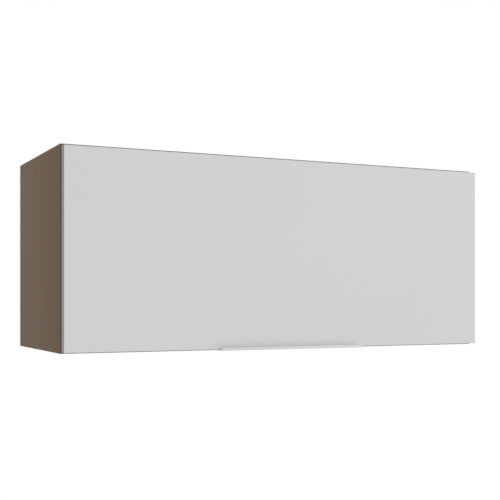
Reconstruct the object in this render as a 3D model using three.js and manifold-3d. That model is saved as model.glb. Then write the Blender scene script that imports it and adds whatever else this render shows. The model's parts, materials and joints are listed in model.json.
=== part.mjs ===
// Lift-up kitchen wall cabinet: a wood-decor box with one top-hung door, two concealed hinges,
// two telescopic struts and an aluminium edge pull. Millimetres, +Z up, +X to the right,
// +Y towards the wall. The origin is the middle of the rear face, which lies on the wall.
import * as THREE from "three";
import { mergeVertices } from "three/addons/utils/BufferGeometryUtils.js";
import Module from "manifold-3d";

const wasm = await Module();
wasm.setup();

// ---------------------------------------------------------------- driving dimensions

// Box
const cabinet_width = 800;
const cabinet_height = 332;
const cabinet_depth = 293; // wall to the front edges, without the door
const board = 16; // particle board of the box
const back_board = 3; // hardboard at the rear
const back_inset = 2; // from the box's outline to the edge of the hardboard
const band = 1; // edge band glued on a cut edge
const seam = 0.2; // glue line or butt joint between two fixed pieces
const rail_height = 70; // hanging rail under the top, at the rear

// Door
const door_board = 16;
const door_gap = 3; // from the front edges of the box to the back of the door
const reveal_top = 4.4; // how far the box shows past the door
const reveal_bottom = 2;
const reveal_side = 1;
const open_angle = 90; // degrees

// Edge pull under the door's lower edge
const pull_length = 271;
const pull_reach = 16; // in front of the door
const pull_sheet = 1.2; // wall of the profile under the door
const pull_flange = 2; // wall of the flange behind the door
const pull_flange_height = 18;
const pull_lip_height = 4.8;
const pull_lip = 1.6;
const pull_screw_from_end = 33;
const pull_screw_rise = 11; // above the door's lower edge

// Concealed hinge: a cup in the door, and an arm whose neck reaches into the cup
const hinge_inset = 100; // from the outside of the box to the middle of a hinge
const cup_radius = 17.5;
const cup_depth = 11;
const cup_wall = 0.8;
const cup_edge = 3; // from the door's top edge to the cup
const cup_rim = 1.5;
const cup_flange = 1;
const cup_bore_clearance = 0.3;
const cup_wing_length = 62;
const cup_wing_height = 13;
const cup_wing_drop = 5.5; // of the wings below the cup's centre
const cup_screw_pitch = 48;
const pivot_depth = 8; // the axis lies this deep in the door's back
const pivot_drop = 6; // and this far below its top edge
const pin_radius = 1;
const pin_fit = 0.08; // radial clearance of the neck on the pin
const pin_seat = 0.08; // and of the pin in its lugs
const eye_radius = 2;
const lug_start = 3.5; // from the hinge's middle to the lugs that hold the pin
const lug_rise = 3; // of the lugs past the axis
const neck_width = 4;
const neck = 3.2; // thickness of the neck in its own plane
const neck_drop = 13.5; // from the axis to the underside of the neck
const neck_bend = 6; // in front of the arm, where the neck starts to rise to it
const neck_slope = 2; // how much later its inner bend starts, and how much higher it ends
const neck_lap = 12; // of the neck on the arm
const arm_width = 14;
const arm_sheet = 1.5;
const arm_height = 10;
const arm_start = 6; // behind the front edges of the box
const arm_length = 48;
const plate_setback = 37; // of the plate's screws from the front edges
const plate_length = 36;
const plate_sheet = 2;
const plate_wing_length = 48;
const plate_wing_height = 14;
const plate_screw_pitch = 32;
const slide_fit = 0.3; // between the arm and the block that it grips
const arm_screw_length = 6;

// Telescopic struts. Both ends lie on one circle about the hinge axis, so a strut turns
// by exactly half of the door's angle.
const pivot_circle = 150;
const strut_inset = 13; // from the side's inner face to the strut's middle plane
const wall_ball_drop = 13; // of the upper ball below the top board
const door_ball_standoff = 12; // of the lower ball behind the door
const ball_radius = 4;
const ball_neck_radius = 2.4;
const ball_fit = 0.3;
const socket_radius = 6.5;
const socket_length = 14; // from the ball to the end of the tube or the rod
const socket_sleeve_radius = 5;
const socket_behind = 5.5; // body of the socket past the ball
const socket_before = 5;
const tube_radius = 7.5;
const tube_wall = 1.2;
const tube_floor = 3;
const tube_chamfer = 0.8;
const tube_guide = 10; // bush at the mouth of the tube
const mouth_gap = 6; // from the tube's mouth to the rod's socket, door closed
const piston_gap = 4; // from the piston to the tube's floor, door closed
const rod_radius = 3;
const rod_fit = 0.3;
const piston_length = 8;
const bracket_sheet = 2;
const wall_bracket_length = 44;
const wall_bracket_height = 18;
const wall_bracket_screw_pitch = 28;
const door_bracket_length = 34;
const door_bracket_height = 16;
const door_bracket_holes = [12, 26.5]; // from the ear
const ear_offset = 10; // from the strut's middle plane to the ear that carries the lower ball

// Fastenings
const cam_radius = 7.5;
const cam_height = 12.4;
const cam_fit = 0.2;
const cam_slot_length = 10;
const cam_slot_width = 1.6;
const cam_slot_depth = 2.5;
const cam_mouth_floor = 2; // from the drum's foot to the mouth for the bolt
const cam_mouth_height = 7;
const cam_mouth_width = 7;
const cam_from_side = 34; // of a cam's centre from the side's inner face
const cam_from_edge = 50; // and from the front and rear edges of the board
const screw_radius = 1.8;
const screw_head_radius = 3.6;
const screw_head = 1.6;
const screw_head_edge = 0.7; // height of a raised head at its rim
const screw_crown_radius = 2.2; // of the flat on top of it
const screw_length = 12;
const screw_fit = 0.2;
const screw_slot_length = 3.6;
const screw_slot_width = 0.9;
const screw_slot_depth = 1;
const hole_spare = 1; // of a blind hole past the screw's point
const bumper_radius = 4;
const bumper_height = 2;
const bumper_edge = 1;
const bumper_crown_radius = 2.4;
const bumper_from_bottom = 16;
const hanger_sheet = 2;
const hanger_width = 50;
const hanger_height = 40;
const hanger_reach = 42;
const hanger_side_holes = [[16, 11], [32, -11]]; // from the rail, and above the wall hole
const wall_hole_radius = 4;
const wall_hole_from_side = 25; // from the side's inner face

// ---------------------------------------------------------------- worked out from these

const over = 1; // how far a cutter runs past the face that it opens
const weld = 1e-4; // corners closer than this are one

const half_width = cabinet_width / 2;
const half_height = cabinet_height / 2;
const inner_side = half_width - board;
const inner_top = half_height - board;
const front_plane = -cabinet_depth; // front edges of the box
const board_front = front_plane + band + seam;
const board_rear = -back_board - seam;

const door_back = front_plane - door_gap;
const door_front = door_back - door_board;
const door_top = half_height - reveal_top;
const door_bottom = -half_height + reveal_bottom;
const door_side = half_width - reveal_side;

const pivot_y = door_back - pivot_depth;
const pivot_z = door_top - pivot_drop;
const cup_centre_z = door_top - cup_edge - cup_radius;
const hinge_x = half_width - hinge_inset;

const strut_x = inner_side - strut_inset;
const wall_ball_z = inner_top - wall_ball_drop;
const wall_ball_y = pivot_y + Math.sqrt(pivot_circle ** 2 - (pivot_z - wall_ball_z) ** 2);
const door_ball_y = door_back + door_ball_standoff;
const door_ball_z = pivot_z - Math.sqrt(pivot_circle ** 2 - (door_ball_y - pivot_y) ** 2);
const strut_dy = door_ball_y - wall_ball_y;
const strut_dz = door_ball_z - wall_ball_z;
const closed_length = Math.hypot(strut_dy, strut_dz);
const tube_length = closed_length - 2 * socket_length - mouth_gap;
const rod_length = closed_length - 2 * socket_length - tube_floor - piston_gap;
const bore_radius = tube_radius - tube_wall;

// The piston stays behind the guide when the door is fully open.
const closed_half_angle = Math.asin(closed_length / 2 / pivot_circle);
const open_half_angle = closed_half_angle + THREE.MathUtils.degToRad(open_angle / 2);
const open_length = 2 * pivot_circle * Math.sin(open_half_angle);
const piston_reserve = tube_length - tube_guide - tube_floor - piston_gap - piston_length
  - (open_length - closed_length);
console.log(`strut ${closed_length.toFixed(1)} mm closed, ${open_length.toFixed(1)} mm open,`
  + ` piston ${piston_reserve.toFixed(1)} mm short of its guide`);

// ---------------------------------------------------------------- materials

const finish = (color, roughness, metalness = 0) =>
  new THREE.MeshStandardMaterial({ color, roughness, metalness });

const wood_decor = finish(0xad9986, 0.55);
const wood_band = finish(0xa5917e, 0.5);
const hardboard = finish(0xb9aa98, 0.8);
const door_white = finish(0xdedede, 0.45);
const door_band = finish(0xd9d9d9, 0.45);
const anodised = finish(0xd2d3d4, 0.35, 0.9);
const nickel = finish(0xb9babc, 0.3, 1);
const zinc = finish(0xa9abad, 0.42, 1);
const dark_enamel = finish(0x33363a, 0.4, 0.2);
const hard_chrome = finish(0xd8dadc, 0.12, 1);
const black_nylon = finish(0x1d1e20, 0.6);
const soft_pad = finish(0xc9ccce, 0.7);

// ---------------------------------------------------------------- solid modelling

// How many flats a round takes: small for screws, large for the cups
const facets_small = 12;
const facets_middle = 18;
const facets_large = 32;
const arc_steps = 6;

// A closed geometry as a manifold solid, with its faces pointing out.
function solid(geometry) {
  const bare = new THREE.BufferGeometry();
  bare.setAttribute("position", geometry.getAttribute("position").clone());
  if (geometry.index) bare.setIndex(geometry.index.clone());
  const merged = mergeVertices(bare, weld);
  const triVerts = new Uint32Array(merged.index.array);
  const make = () => new wasm.Manifold(
    new wasm.Mesh({ numProp: 3, vertProperties: merged.attributes.position.array, triVerts }));
  const first = make();
  if (first.volume() > 0) return first;
  for (let i = 0; i < triVerts.length; i += 3) {
    [triVerts[i + 1], triVerts[i + 2]] = [triVerts[i + 2], triVerts[i + 1]];
  }
  return make();
}

function geometryOf(body) {
  const mesh = body.getMesh();
  const geometry = new THREE.BufferGeometry();
  geometry.setAttribute("position", new THREE.BufferAttribute(new Float32Array(mesh.vertProperties), 3));
  geometry.setIndex(new THREE.BufferAttribute(new Uint32Array(mesh.triVerts), 1));
  return geometry;
}

const join = (...shapes) => geometryOf(shapes.map(solid).reduce((sum, next) => sum.add(next)));
const common = (a, b) => geometryOf(solid(a).intersect(solid(b)));
const cut = (shape, ...tools) =>
  geometryOf(tools.map(solid).reduce((rest, tool) => rest.subtract(tool), solid(shape)));

// A box between two values on each axis.
function block([x0, x1], [y0, y1], [z0, z1]) {
  return new THREE.BoxGeometry(x1 - x0, y1 - y0, z1 - z0)
    .translate((x0 + x1) / 2, (y0 + y1) / 2, (z0 + z1) / 2);
}

// A round bar along an axis, between two values on it, at the given place on the other two.
function bar(axis, radius, from, to, [x, y, z], facets = facets_middle) {
  const geometry = new THREE.CylinderGeometry(radius, radius, to - from, facets);
  if (axis === "x") geometry.rotateZ(-Math.PI / 2).translate((from + to) / 2, y, z);
  if (axis === "y") geometry.translate(x, (from + to) / 2, z);
  if (axis === "z") geometry.rotateX(Math.PI / 2).translate(x, y, (from + to) / 2);
  return geometry;
}

// A flat outline given in Y and Z, thickened along X; and one given in X and Z, thickened along Y.
const along_x = new THREE.Matrix4().set(0, 0, 1, 0, 1, 0, 0, 0, 0, 1, 0, 0, 0, 0, 0, 1);
const along_y = new THREE.Matrix4().set(1, 0, 0, 0, 0, 0, -1, 0, 0, 1, 0, 0, 0, 0, 0, 1);

function prismX(shape, x0, x1) {
  return new THREE.ExtrudeGeometry(shape, { depth: x1 - x0, bevelEnabled: false, curveSegments: arc_steps })
    .applyMatrix4(along_x).translate(x0, 0, 0);
}

function prismY(shape, y0, y1) {
  return new THREE.ExtrudeGeometry(shape, { depth: y1 - y0, bevelEnabled: false, curveSegments: arc_steps })
    .applyMatrix4(along_y).translate(0, y1, 0);
}

// A flat slot-shaped outline with round ends: length overall, height, centre.
function stadium(length, height, cx = 0, cy = 0) {
  const r = height / 2;
  const reach = length / 2 - r;
  const shape = new THREE.Shape();
  shape.absarc(cx + reach, cy, r, -Math.PI / 2, Math.PI / 2);
  shape.absarc(cx - reach, cy, r, Math.PI / 2, 1.5 * Math.PI);
  shape.closePath();
  return shape;
}

const outline = (points) => new THREE.Shape(points.map(([a, b]) => new THREE.Vector2(a, b)));

// A turned piece about its own Y axis, from a profile of [radius, height] pairs.
const turned = (profile, facets = facets_middle) =>
  new THREE.LatheGeometry(profile.map(([r, h]) => new THREE.Vector2(r, h)), facets);

function piece(name, geometry, material, parent) {
  const mesh = new THREE.Mesh(geometry, material);
  mesh.name = name;
  parent.add(mesh);
  return mesh;
}

// A board between two values on each axis, with its own origin in its middle and its bores cut.
function boardPiece(name, spans, material, parent, bores = []) {
  const [x, y, z] = spans.map(([low, high]) => (low + high) / 2);
  const whole = block(...spans);
  const geometry = bores.length ? cut(whole, ...bores) : whole;
  const mesh = piece(name, geometry.translate(-x, -y, -z), material, parent);
  mesh.position.set(x, y, z);
  return mesh;
}

const sides = [["left", -1], ["right", 1]];
const ordered = (a, b) => [Math.min(a, b), Math.max(a, b)];

// ---------------------------------------------------------------- fasteners

// A wood screw about its own Y axis: the underside of the head at 0, the point at -length.
function screwShape(length = screw_length, flush = false) {
  const r = screw_radius;
  const R = screw_head_radius;
  const head = flush
    ? [[r, -screw_head], [R, 0], [0, 0]]
    : [[r, 0], [R, 0], [R, screw_head_edge], [screw_crown_radius, screw_head], [0, screw_head]];
  const body = turned([[0, -length], [r, -length + 2 * r], ...head], facets_small);
  const top = flush ? 0 : screw_head;
  const slot = (w, d) => block([-w / 2, w / 2], [top - screw_slot_depth, top + over], [-d / 2, d / 2]);
  return cut(body, slot(screw_slot_length, screw_slot_width), slot(screw_slot_width, screw_slot_length));
}

// A round clearance hole for a screw, as a cutter along an axis.
const shankHole = (axis, from, to, at) => bar(axis, screw_radius + screw_fit, from, to, at, facets_small);

// The blind hole of a screw that goes into a board at a face, towards plus or minus on the axis.
function screwHole(axis, face, way, at, length = screw_length) {
  const ends = ordered(face - way * over, face + way * (length + hole_spare));
  return shankHole(axis, ...ends, at);
}

// A cam lock about its own Z axis: a drum with a cross slot on its face and a mouth for its bolt.
function camShape(way) {
  const drum = bar("z", cam_radius, -cam_height, 0, [0, 0, 0]);
  const slot = (w, d) => block([-w / 2, w / 2], [-d / 2, d / 2], [-cam_slot_depth, over]);
  const mouth = block(ordered(0, way * (cam_radius + over)), [-cam_mouth_width / 2, cam_mouth_width / 2],
    [-cam_height + cam_mouth_floor, -cam_height + cam_mouth_floor + cam_mouth_height]);
  return cut(drum, slot(cam_slot_length, cam_slot_width), slot(cam_slot_width, cam_slot_length), mouth);
}

// ---------------------------------------------------------------- box

function box() {
  const group = new THREE.Group();
  const depth = [board_front, board_rear];
  const between = [-inner_side + seam, inner_side - seam];
  const cam_x = inner_side - cam_from_side;
  const cam_ys = [["front", board_front + cam_from_edge], ["rear", board_rear - cam_from_edge]];
  const rail_front = board_rear - board;
  const rail_top = inner_top - seam;
  const wall_hole_x = inner_side - wall_hole_from_side;
  const wall_hole_z = rail_top - rail_height / 2;

  // Boards
  for (const [side, s] of sides) {
    const outer = s * half_width;
    const inner = s * inner_side;
    const x = ordered(outer, inner);
    const z = [-half_height, half_height];
    boardPiece(`side_panel_${side}`, [x, depth, z], wood_decor, group);
    boardPiece(`front_band_${side}`, [x, [front_plane, front_plane + band], z], wood_band, group);
  }
  const cam_bores = (face) => sides.flatMap(([, s]) => cam_ys.map(([, y]) =>
    bar("z", cam_radius + cam_fit, face - cam_height - 2 * cam_fit, face + over, [s * cam_x, y, 0])));
  const plate_screws = sides.flatMap(([, s]) => [-1, 1].map((t) =>
    screwHole("z", inner_top, 1,
      [s * hinge_x + t * plate_screw_pitch / 2, front_plane + plate_setback, 0])));
  boardPiece("top_panel", [between, depth, [inner_top, half_height]], wood_decor, group,
    [...cam_bores(half_height), ...plate_screws]);
  boardPiece("bottom_panel", [between, depth, [-half_height, -inner_top]], wood_decor, group,
    cam_bores(-inner_top));
  for (const [edge, low, high] of [["top", inner_top, half_height], ["bottom", -half_height, -inner_top]]) {
    boardPiece(`front_band_${edge}`, [between, [front_plane, front_plane + band], [low, high]],
      wood_band, group);
  }
  const back_x = half_width - back_inset;
  const back_z = half_height - back_inset;
  const wall_holes = (y0, y1) => sides.map(([, s]) =>
    bar("y", wall_hole_radius, y0, y1, [s * wall_hole_x, 0, wall_hole_z]));
  boardPiece("back_panel", [[-back_x, back_x], [-back_board, 0], [-back_z, back_z]], hardboard, group,
    wall_holes(-back_board - over, over));
  boardPiece("hanging_rail", [between, [rail_front, board_rear], [rail_top - rail_height, rail_top]],
    wood_decor, group, wall_holes(rail_front - over, board_rear + over));

  // Cam locks: the upper ones let into the top face, the lower ones into the inside of the bottom
  for (const [level, face] of [["top", half_height], ["bottom", -inner_top]]) {
    for (const [side, s] of sides) {
      for (const [end, y] of cam_ys) {
        piece(`cam_lock_${level}_${side}_${end}`, camShape(s), zinc, group)
          .position.set(s * cam_x, y, face - cam_fit);
      }
    }
  }

  // Angle plates that take the wall screws: one leg on the rail, one on the side
  for (const [side, s] of sides) {
    const y = rail_front - seam;
    const corner = s * (inner_side - seam);
    const z = [wall_hole_z - hanger_height / 2, wall_hole_z + hanger_height / 2];
    const on_rail = block(ordered(corner, corner - s * hanger_width), [y - hanger_sheet, y], z);
    const on_side = block(ordered(corner, corner - s * hanger_sheet), [y - hanger_reach, y], z);
    const wall_hole = bar("y", wall_hole_radius, y - hanger_sheet - over, y + over,
      [s * wall_hole_x, 0, wall_hole_z]);
    const through = ordered(corner + s * over, corner - s * (hanger_sheet + over));
    const side_holes = hanger_side_holes.map(([reach, rise]) =>
      shankHole("x", ...through, [0, y - reach, wall_hole_z + rise]));
    piece(`hanger_plate_${side}`, cut(join(on_rail, on_side), wall_hole, ...side_holes), zinc, group);
  }
  return group;
}

// ---------------------------------------------------------------- concealed hinges

// Cup, pin and screws, which stay with the door. Origin on the hinge axis.
function hingeCup(side, s, group) {
  const hub = new THREE.Group();
  hub.position.set(s * hinge_x, pivot_y, pivot_z);
  group.add(hub);
  const face = pivot_depth; // the door's back, seen from the axis
  const centre = cup_centre_z - pivot_z;
  const inner = cup_radius - cup_wall;
  const seat = face + seam;
  const shell = turned([[0, face - cup_depth], [cup_radius, face - cup_depth], [cup_radius, seat],
    [cup_radius + cup_rim, seat], [cup_radius + cup_rim, seat + cup_flange], [inner, seat + cup_flange],
    [inner, face - cup_depth + cup_wall], [0, face - cup_depth + cup_wall]], facets_large)
    .translate(0, 0, centre);
  const wings = prismY(stadium(cup_wing_length, cup_wing_height, 0, centre - cup_wing_drop),
    seat, seat + cup_flange);
  const mouth = bar("y", inner, face - cup_depth + cup_wall, seat + cup_flange + over, [0, 0, centre],
    facets_large);
  const screw_xs = [-1, 1].map((t) => t * cup_screw_pitch / 2);
  const screw_z = centre - cup_wing_drop;
  const holes = screw_xs.map((x) => shankHole("y", seat - over, seat + cup_flange + over, [x, 0, screw_z]));
  const pin_reach = Math.sqrt(cup_radius ** 2 - (pin_radius - centre) ** 2) - pin_seat;
  const pin_hole = bar("x", pin_radius + pin_seat, -cup_radius, cup_radius, [0, 0, 0]);
  const within = bar("y", cup_radius - cup_wall / 2, face - cup_depth, seat, [0, 0, centre], facets_large);
  const lugs = [-1, 1].map((t) => common(within, block(ordered(t * lug_start, t * cup_radius),
    [face - cup_depth + cup_wall / 2, lug_rise], [-lug_rise, cup_radius])));
  piece(`hinge_cup_${side}`, cut(join(shell, cut(wings, mouth), ...lugs), pin_hole, ...holes), nickel, hub);
  piece(`hinge_pin_${side}`, bar("x", pin_radius, -pin_reach, pin_reach, [0, 0, 0]), nickel, hub);
  screw_xs.forEach((x, i) => {
    piece(`hinge_cup_screw_${side}_${i + 1}`, screwShape(), zinc, hub)
      .position.set(x, seat + cup_flange + seam, screw_z);
  });
}

// Arm, mounting plate and screws, which stay with the box. Origin on the hinge axis.
function hingeArm(side, s, group) {
  const hub = new THREE.Group();
  hub.position.set(s * hinge_x, pivot_y, pivot_z);
  group.add(hub);
  const front = front_plane - pivot_y; // front edges of the box, seen from the axis
  const ceiling = inner_top - pivot_z;
  const half = neck / 2;
  const root = front + arm_start;
  const plate_low = ceiling - seam - plate_sheet;
  const arm_top = plate_low - slide_fit;
  const arm_low = arm_top - arm_height;

  // Neck: an eye on the pin, a limb down out of the cup, and a limb back to the arm
  const bend = root - neck_bend;
  const neck_end = root + neck_lap;
  const neck_outline = outline([[-half, 0], [-half, -neck_drop], [bend, -neck_drop],
    [root + neck_slope, arm_low], [neck_end, arm_low], [neck_end, arm_low + arm_sheet],
    [root + 2 * neck_slope, arm_low + arm_sheet + neck_slope], [bend + neck_slope, -neck_drop + neck],
    [half, -neck_drop + neck], [half, 0]]);
  const neck_plate = prismX(neck_outline, -neck_width / 2, neck_width / 2);
  const eye = bar("x", eye_radius, -neck_width / 2, neck_width / 2, [0, 0, 0]);
  const eye_hole = bar("x", pin_radius + pin_fit, -neck_width, neck_width, [0, 0, 0]);

  // Channel that grips the plate's block
  const half_arm = arm_width / 2;
  const channel = cut(
    block([-half_arm, half_arm], [root, root + arm_length], [arm_low, arm_top]),
    block([-half_arm + arm_sheet, half_arm - arm_sheet], [root + arm_sheet, root + arm_length + over],
      [arm_low + arm_sheet, arm_top + over]));
  const screw_y = front + plate_setback;
  const fixing = shankHole("z", arm_low - over, arm_low + arm_sheet + over, [0, screw_y, 0]);
  piece(`hinge_arm_${side}`,
    cut(join(channel, neck_plate, eye), eye_hole, fixing), nickel, hub);

  // Mounting plate: wings on the board and a block between the arm's walls
  const block_half = half_arm - arm_sheet - slide_fit;
  const block_low = arm_low + arm_sheet + slide_fit;
  const wings = block([-plate_wing_length / 2, plate_wing_length / 2],
    [screw_y - plate_wing_height / 2, screw_y + plate_wing_height / 2], [plate_low, ceiling - seam]);
  const spine = block([-block_half, block_half], [screw_y - plate_length / 2, screw_y + plate_length / 2],
    [block_low, ceiling - seam]);
  const screw_xs = [-1, 1].map((t) => t * plate_screw_pitch / 2);
  const holes = screw_xs.map((x) => shankHole("z", plate_low - over, ceiling + over, [x, screw_y, 0]));
  const thread = screwHole("z", block_low, 1, [0, screw_y, 0], arm_screw_length - arm_sheet);
  piece(`hinge_plate_${side}`, cut(join(wings, spine), thread, ...holes), nickel, hub);
  screw_xs.forEach((x, i) => {
    const screw = piece(`hinge_plate_screw_${side}_${i + 1}`, screwShape(), zinc, hub);
    screw.position.set(x, screw_y, plate_low - seam);
    screw.rotation.x = -Math.PI / 2;
  });
  const fixing_screw = piece(`hinge_arm_screw_${side}`, screwShape(arm_screw_length), zinc, hub);
  fixing_screw.position.set(0, screw_y, arm_low - seam);
  fixing_screw.rotation.x = -Math.PI / 2;
}

// ---------------------------------------------------------------- door

function door() {
  const group = new THREE.Group();
  const edge = band + seam;
  const core_x = door_side - edge;
  const core_z = [door_bottom + edge, door_top - edge];
  const thickness = [door_front, door_back];
  const cup_screw_z = cup_centre_z - cup_wing_drop;
  const pull_screw_z = door_bottom + pull_screw_rise;
  const pull_screw_x = pull_length / 2 - pull_screw_from_end;

  const bores = sides.flatMap(([, s]) => [
    bar("y", cup_radius + cup_bore_clearance, door_back - cup_depth - cup_bore_clearance, door_back + over,
      [s * hinge_x, 0, cup_centre_z], facets_large),
    ...[-1, 1].map((t) =>
      screwHole("y", door_back, -1, [s * hinge_x + t * cup_screw_pitch / 2, 0, cup_screw_z])),
    screwHole("y", door_back, -1, [s * pull_screw_x, 0, pull_screw_z]),
  ]);
  boardPiece("door_panel", [[-core_x, core_x], thickness, core_z], door_white, group, bores);
  for (const [side, s] of sides) {
    const x = ordered(s * (core_x + seam), s * door_side);
    boardPiece(`door_band_${side}`, [x, thickness, [door_bottom, door_top]], door_band, group);
    hingeCup(side, s, group);
  }
  for (const [name, low, high] of [["top", door_top - band, door_top],
    ["bottom", door_bottom, door_bottom + band]]) {
    boardPiece(`door_band_${name}`, [[-core_x, core_x], thickness, [low, high]], door_band, group);
  }

  // Edge pull: a flange behind the door, a floor under it, and a turned-up lip in front
  const sheet_top = door_bottom - seam;
  const sheet_low = sheet_top - pull_sheet;
  const flange_in = door_back + seam;
  const flange_out = flange_in + pull_flange;
  const lip_front = door_front - pull_reach;
  const lip_top = sheet_low + pull_lip_height;
  const round = pull_lip / 2;
  const section = new THREE.Shape();
  section.moveTo(flange_out, sheet_low);
  section.lineTo(flange_out, sheet_low + pull_flange_height);
  section.lineTo(flange_in, sheet_low + pull_flange_height);
  section.lineTo(flange_in, sheet_top);
  section.lineTo(lip_front + pull_lip, sheet_top);
  section.lineTo(lip_front + pull_lip, lip_top - round);
  section.absarc(lip_front + round, lip_top - round, round, 0, Math.PI);
  section.lineTo(lip_front, sheet_low + round);
  section.absarc(lip_front + round, sheet_low + round, round, Math.PI, 1.5 * Math.PI);
  section.closePath();
  const pull = prismX(section, -pull_length / 2, pull_length / 2);
  const shank = screw_radius + screw_fit;
  const head = screw_head_radius + screw_fit;
  const foot = -pull_flange - over;
  const countersinks = sides.map(([, s]) => turned([[0, foot], [shank, foot], [shank, -screw_head - seam],
    [head, -seam], [head, over], [0, over]], facets_small)
    .translate(s * pull_screw_x, flange_out, pull_screw_z));
  piece("pull_profile", cut(pull, ...countersinks), anodised, group);
  for (const [side, s] of sides) {
    piece(`pull_screw_${side}`, screwShape(screw_length, true), zinc, group)
      .position.set(s * pull_screw_x, flange_out - seam, pull_screw_z);
    // Soft pad that meets the front edge of the box's side
    const dome = turned([[0, 0], [bumper_radius, 0], [bumper_radius, bumper_edge],
      [bumper_crown_radius, bumper_height], [0, bumper_height]]);
    piece(`door_bumper_${side}`, dome, soft_pad, group)
      .position.set(s * (half_width - board / 2), door_back + seam, door_bottom + bumper_from_bottom);
  }
  return group;
}

// ---------------------------------------------------------------- telescopic struts

// A ball socket about the ball, with its sleeve along +Y. It opens towards the stud, at open_way on X.
function socketShape(open_way) {
  const centre = [0, 0, 0];
  const ends = ordered(open_way * socket_before, -open_way * socket_behind);
  const head = bar("x", socket_radius, ...ends, centre);
  const sleeve = bar("y", socket_sleeve_radius, 0, socket_length - seam, centre);
  const room = ball_radius + ball_fit;
  const seat = bar("x", room, ...ordered(-open_way * room, open_way * (socket_before + over)), centre);
  return cut(join(head, sleeve), seat);
}

// A ball on its neck, with the ball in the origin and the neck running along way on X.
function ballStud(way, reach) {
  const ball = new THREE.SphereGeometry(ball_radius, facets_middle, facets_small);
  return join(ball, bar("x", ball_neck_radius, ...ordered(0, way * reach), [0, 0, 0], facets_small));
}

// The end on the side of the box: a plate with a ball
function wallBracket(side, s, group) {
  const hub = new THREE.Group();
  hub.position.set(s * strut_x, wall_ball_y, wall_ball_z);
  group.add(hub);
  const outer = strut_inset - seam;
  const inner = outer - bracket_sheet;
  const plate = prismX(stadium(wall_bracket_length, wall_bracket_height), inner, outer);
  if (s < 0) plate.rotateY(Math.PI);
  const holes = [-1, 1].map((t) =>
    shankHole("x", -outer - over, outer + over, [0, t * wall_bracket_screw_pitch / 2, 0]));
  piece(`strut_wall_bracket_${side}`,
    join(cut(plate, ...holes), ballStud(s, inner + bracket_sheet / 2)), zinc, hub);
}

// The end on the door: a base, an ear square to the door, and a ball on the ear
function doorBracket(side, s, group) {
  const hub = new THREE.Group();
  hub.position.set(s * strut_x, door_ball_y, door_ball_z);
  group.add(hub);
  const ear_x = -s * ear_offset;
  const half_sheet = s * bracket_sheet / 2;
  const seat = -door_ball_standoff + seam;
  const half = door_bracket_height / 2;
  const base = block(ordered(ear_x + half_sheet, ear_x + half_sheet - s * door_bracket_length),
    [seat, seat + bracket_sheet], [-half, half]);
  const ear_outline = new THREE.Shape();
  ear_outline.moveTo(seat, -half);
  ear_outline.absarc(0, 0, half, -Math.PI / 2, Math.PI / 2);
  ear_outline.lineTo(seat, half);
  ear_outline.closePath();
  const ear = prismX(ear_outline, ...ordered(ear_x - half_sheet, ear_x + half_sheet));
  const holes = door_bracket_holes.map((reach) =>
    shankHole("y", seat - over, seat + bracket_sheet + over, [ear_x - s * reach, 0, 0]));
  piece(`strut_door_bracket_${side}`,
    join(cut(base, ...holes), ear, ballStud(-s, ear_offset)), zinc, hub);
}

// Tube with its socket, which turns on the ball of the box
function strutTube(side, s, group) {
  const hub = new THREE.Group();
  hub.position.set(s * strut_x, wall_ball_y, wall_ball_z);
  hub.rotation.x = Math.atan2(strut_dz, strut_dy);
  group.add(hub);
  const end = tube_length;
  const mouth = rod_radius + rod_fit;
  const rim = tube_radius - tube_chamfer;
  const profile = [[0, 0], [rim, 0], [tube_radius, tube_chamfer], [tube_radius, end - tube_chamfer],
    [rim, end], [mouth, end], [mouth, end - tube_guide], [bore_radius, end - tube_guide],
    [bore_radius, tube_floor], [0, tube_floor]];
  piece(`strut_tube_${side}`, geometryOf(solid(turned(profile))), dark_enamel, hub)
    .position.y = socket_length;
  piece(`strut_tube_socket_${side}`, socketShape(s), black_nylon, hub);
}

// Rod with its piston and socket, which turns on the ball of the door
function strutRod(side, s, group) {
  const hub = new THREE.Group();
  hub.position.set(s * strut_x, door_ball_y, door_ball_z);
  hub.rotation.x = Math.atan2(-strut_dz, -strut_dy);
  group.add(hub);
  const end = rod_length;
  const piston = bore_radius - rod_fit;
  const step = end - piston_length;
  const profile = [[0, 0], [rod_radius, 0], [rod_radius, step], [piston, step],
    [piston, end], [0, end]];
  piece(`strut_rod_${side}`, geometryOf(solid(turned(profile))), hard_chrome, hub)
    .position.y = socket_length;
  piece(`strut_rod_socket_${side}`, socketShape(-s), black_nylon, hub);
}

// ---------------------------------------------------------------- assembly

const cabinet = new THREE.Group();
const carcass = box();
const flap = door();
for (const [side, s] of sides) {
  hingeArm(side, s, carcass);
  wallBracket(side, s, carcass);
  doorBracket(side, s, flap);
  strutTube(side, s, cabinet);
  strutRod(side, s, cabinet);
}
cabinet.add(carcass, flap);

export default cabinet;
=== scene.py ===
# %% [markdown]
# # A lift-up wall cabinet
# A wide, shallow kitchen cabinet that hangs on the wall. Its box is made of decor boards, its pale
# door hangs from the top on two concealed hinges, and a slim metal pull sits under the door's lower
# edge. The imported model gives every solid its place; this script gives each one its finish, adds
# the small things that the solids leave out, and sets the camera and the light.

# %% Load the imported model
import json
import math

import bmesh
import bpy
from mathutils import Matrix, Vector


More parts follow.
